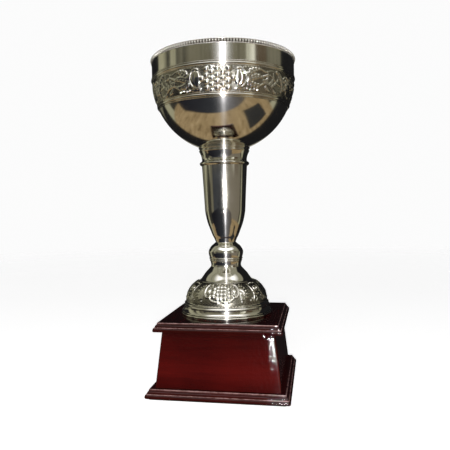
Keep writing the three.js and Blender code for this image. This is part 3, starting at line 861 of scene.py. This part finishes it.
class Room(Shader):
    """The world, seen in the directions that the trophy's lit front has ahead, at its side and above it."""

    def __init__(self):
        super().__init__("studio", bpy.data.worlds, "Background")
        self.direction = self.node("ShaderNodeTexCoord", "Generated")
        self.ahead = self.dot(self.direction, heading(FRONT))
        self.side = self.dot(self.direction, heading(FRONT + 90))
        self.up = self.dot(self.direction, (0, 0, 1))
        self.level = self.from_zero(self.up)
        self.around = self.from_zero(self.math("ARCTAN2", self.side, self.ahead), 0.5 / math.pi)

    def stripes(self, *stops):
        """Colours at azimuths in degrees, with straight ahead at 0."""
        return self.ramp(self.around, *((azimuth / 360 + 0.5, colour) for azimuth, colour in stops))

    def walls(self):
        """Striped, finely lined walls that turn plain towards the ceiling."""
        stripes = self.stripes(
            (-125, CREAM), (-100, CREAM), (-98, DARK), (-91, DARK), (-89, CREAM), (-79, CREAM), (-77, DARK),
            (-66, OLIVE), (-62, DARK), (-55, OLIVE), (-14, OLIVE), (-8, (0.24, 0.245, 0.235)),
            (8, (0.22, 0.22, 0.19)), (15, OLIVE), (36, OLIVE), (38, (0.7, 0.7, 0.58)), (50, (0.8, 0.8, 0.7)),
            (52, BROWN), (70, BROWN), (73, OLIVE), (103, OLIVE))
        height = self.math("MULTIPLY", self.up, 0.01)
        lines = self.noise(self.node("ShaderNodeCombineXYZ", 0, {0: self.around, 1: height}), 48, 4, 0.7)
        lines = self.ramp(lines, (0.36, 0.45), (0.46, 0.9), (0.55, 1.1), (0.62, 1.0))
        ceiling = self.ramp(self.level, (0.62, 0.0), (0.8, 0.75))
        return self.mix(ceiling, self.mix(1.0, stripes, lines, "MULTIPLY"), (0.30, 0.295, 0.225))

    def skirting(self):
        return self.stripes(
            (-125, CREAM), (-112, CREAM), (-110, DARK), (-84, DARK), (-82, OLIVE), (-70, OLIVE), (-66, SLATE),
            (-10, SLATE), (0, (0.2, 0.2, 0.19)), (12, (0.20, 0.18, 0.145)), (88, (0.17, 0.15, 0.115)),
            (90, DARK), (95, DARK), (97, CREAM), (104, CREAM))

    def table(self):
        """A flat wooden table top with a dark square cloth on it."""
        down = self.math("MAXIMUM", self.math("MULTIPLY", self.up, -1.0), 0.05)
        across, along = self.math("DIVIDE", self.side, down), self.math("DIVIDE", self.ahead, down)
        grain_at = self.node("ShaderNodeCombineXYZ", 0, {0: self.math("MULTIPLY", across, 9.0), 1: along})
        wood = self.ramp(
            self.noise(grain_at, 1.6, 5, 0.65, 0.6),
            (0.32, (0.10, 0.065, 0.03)), (0.45, (0.27, 0.195, 0.105)), (0.6, (0.36, 0.27, 0.15)),
            (0.7, (0.44, 0.34, 0.21)))
        from_cloth = self.math("MAXIMUM", self.math("ABSOLUTE", self.math("SUBTRACT", across, 1.0)),
                               self.math("ABSOLUTE", self.math("SUBTRACT", along, 0.05)))
        return self.mix(self.ramp(from_cloth, (0.40, 1.0), (0.43, 0.0)), wood, (0.03, 0.03, 0.03))

    def floor_in_front(self, room):
        """The room with a dark floor in front of the table, inside a round outline."""
        sink = self.dot(self.direction, heading(FRONT + 180, -76))
        wide = self.math("POWER", self.math("DIVIDE", self.math("ADD", self.side, 0.2), 0.78), 2.0)
        deep = self.math("POWER", self.math("DIVIDE", self.math("SUBTRACT", sink, 0.28), 0.47), 2.0)
        edge = self.math("MULTIPLY", self.math("ADD", wide, deep), 0.5)
        inside = self.math("MULTIPLY", self.ramp(edge, (0.48, 1.0), (0.52, 0.0)),
                           self.math("GREATER_THAN", self.ahead, 0.0))
        floor = self.ramp(
            self.from_zero(self.side), (0.05, (0.012, 0.012, 0.016)), (0.4, (0.035, 0.038, 0.045)),
            (0.52, (0.15, 0.15, 0.165)), (0.75, (0.09, 0.08, 0.07)))
        return self.mix(inside, room, floor)

    def bright_parts(self):
        """A bright upright strip straight ahead, and a window overhead."""
        across = self.ramp(self.math("ABSOLUTE", self.side),
                           (0.0, 1.0), (0.03, 0.8), (0.07, 0.14), (0.16, 0.035), (0.3, 0.0))
        strip = self.math("MULTIPLY", across, self.math("GREATER_THAN", self.ahead, 0.0))
        strip = self.math("MULTIPLY", strip, self.ramp(
            self.level, (0.02, 0.05), (0.12, 0.12), (0.3, 0.5), (0.42, 1.0), (0.6, 1.0), (0.85, 0.3)))
        pane = self.ramp(
            self.around, (0.27, 0.0), (0.35, 0.55), (0.42, 1.0), (0.58, 1.0), (0.65, 0.55), (0.73, 0.0))
        window = self.math(
            "MULTIPLY", self.ramp(self.level, (0.84, 0.0), (0.86, 1.0), (0.92, 1.0), (0.94, 0.0)), pane)
        bright = self.math("ADD", self.math("MULTIPLY", strip, STRIP_GLOW),
                           self.math("MULTIPLY", window, WINDOW_GLOW))
        return self.mix(1.0, bright, (0.93, 0.93, 1.0), "MULTIPLY")

    def behind(self):
        """Darkness behind the trophy, with one small pale panel and a low wall on one side."""
        panel = self.ramp(self.dot(self.direction, heading(FRONT + 180, -4)), (0.974, 0.0), (0.98, 1.0))
        dark = self.mix(panel, (0.011, 0.011, 0.012), (0.32, 0.31, 0.26))
        one_side = self.math("MULTIPLY", self.math("LESS_THAN", self.side, 0.0),
                             self.ramp(self.from_zero(self.ahead), (0.05, 0.0), (0.08, 1.0)))
        low_wall = self.math(
            "MULTIPLY", self.ramp(self.level, (0.44, 0.0), (0.46, 1.0), (0.53, 1.0), (0.54, 0.0)), one_side)
        return self.mix(low_wall, dark, (0.15, 0.145, 0.105))

    def soft_light(self):
        """White light that is strongest from the horizon."""
        level = self.math("SUBTRACT", 1.0, self.math("MULTIPLY", self.up, self.up))
        return self.math("MULTIPLY", self.math("POWER", level, 2.0), SOFT_LIGHT)


def make_world():
    """Pale to the camera, soft white light on matt surfaces, and a dim warm room in reflections."""
    s = Room()
    bpy.context.scene.world = s.material
    room = s.mix(s.ramp(s.level, (0.485, 1.0), (0.52, 0.0)), s.walls(), s.skirting())
    room = s.mix(s.ramp(s.level, (0.28, 1.0), (0.30, 0.0)), room, s.table())
    room = s.mix(1.0, s.floor_in_front(room), s.bright_parts(), "ADD")
    facing = s.from_zero(s.dot(s.direction, heading(FRONT - 10, -8)))
    room = s.mix(s.ramp(facing, (0.285, 0.0), (0.31, 1.0)), s.behind(), room)
    paths = s.nodes.new("ShaderNodeLightPath")
    colour = s.mix(paths.outputs["Is Glossy Ray"], s.soft_light(), room)
    s.set(Color=s.mix(paths.outputs["Is Camera Ray"], colour, BACKDROP))


def make_light(name, kind, at, energy, size):
    """A lamp in metres and watts. An area lamp points at AIM and stays out of reflections."""
    light = bpy.data.lights.new(name, kind)
    light.energy = energy
    lamp = bpy.data.objects.new(name, light)
    lamp.location = at
    if kind == "AREA":
        light.size = size
        lamp.rotation_euler = (Vector(AIM) - Vector(at)).to_track_quat("-Z", "Y").to_euler()
        lamp.visible_glossy = False
    else:
        light.shadow_soft_size = size
    bpy.context.scene.collection.objects.link(lamp)


def make_camera():
    camera = bpy.data.cameras.new("camera")
    camera.lens = CAMERA_LENS
    camera.sensor_width = SENSOR
    holder = bpy.data.objects.new("camera", camera)
    holder.location = [v * MM for v in CAMERA_AT]
    level = Euler((math.radians(90 + CAMERA_PITCH), 0, -math.radians(CAMERA_YAW))).to_matrix()
    roll = Euler((0, 0, math.radians(CAMERA_ROLL))).to_matrix()
    holder.rotation_euler = (level @ roll).to_euler()
    bpy.context.scene.collection.objects.link(holder)
    bpy.context.scene.camera = holder


make_floor()
make_world()
make_camera()
make_light("key_softbox", "AREA", at=(-0.25, -1.25, 0.45), energy=5, size=0.8)
make_light("camera_flash", "POINT", at=(0.083, -0.488, 0.152), energy=6, size=0.01)
make_light("low_sparkle", "POINT", at=(0.05, -0.5, 0.035), energy=1.1, size=0.004)

bpy.context.scene.view_settings.view_transform = "Standard"
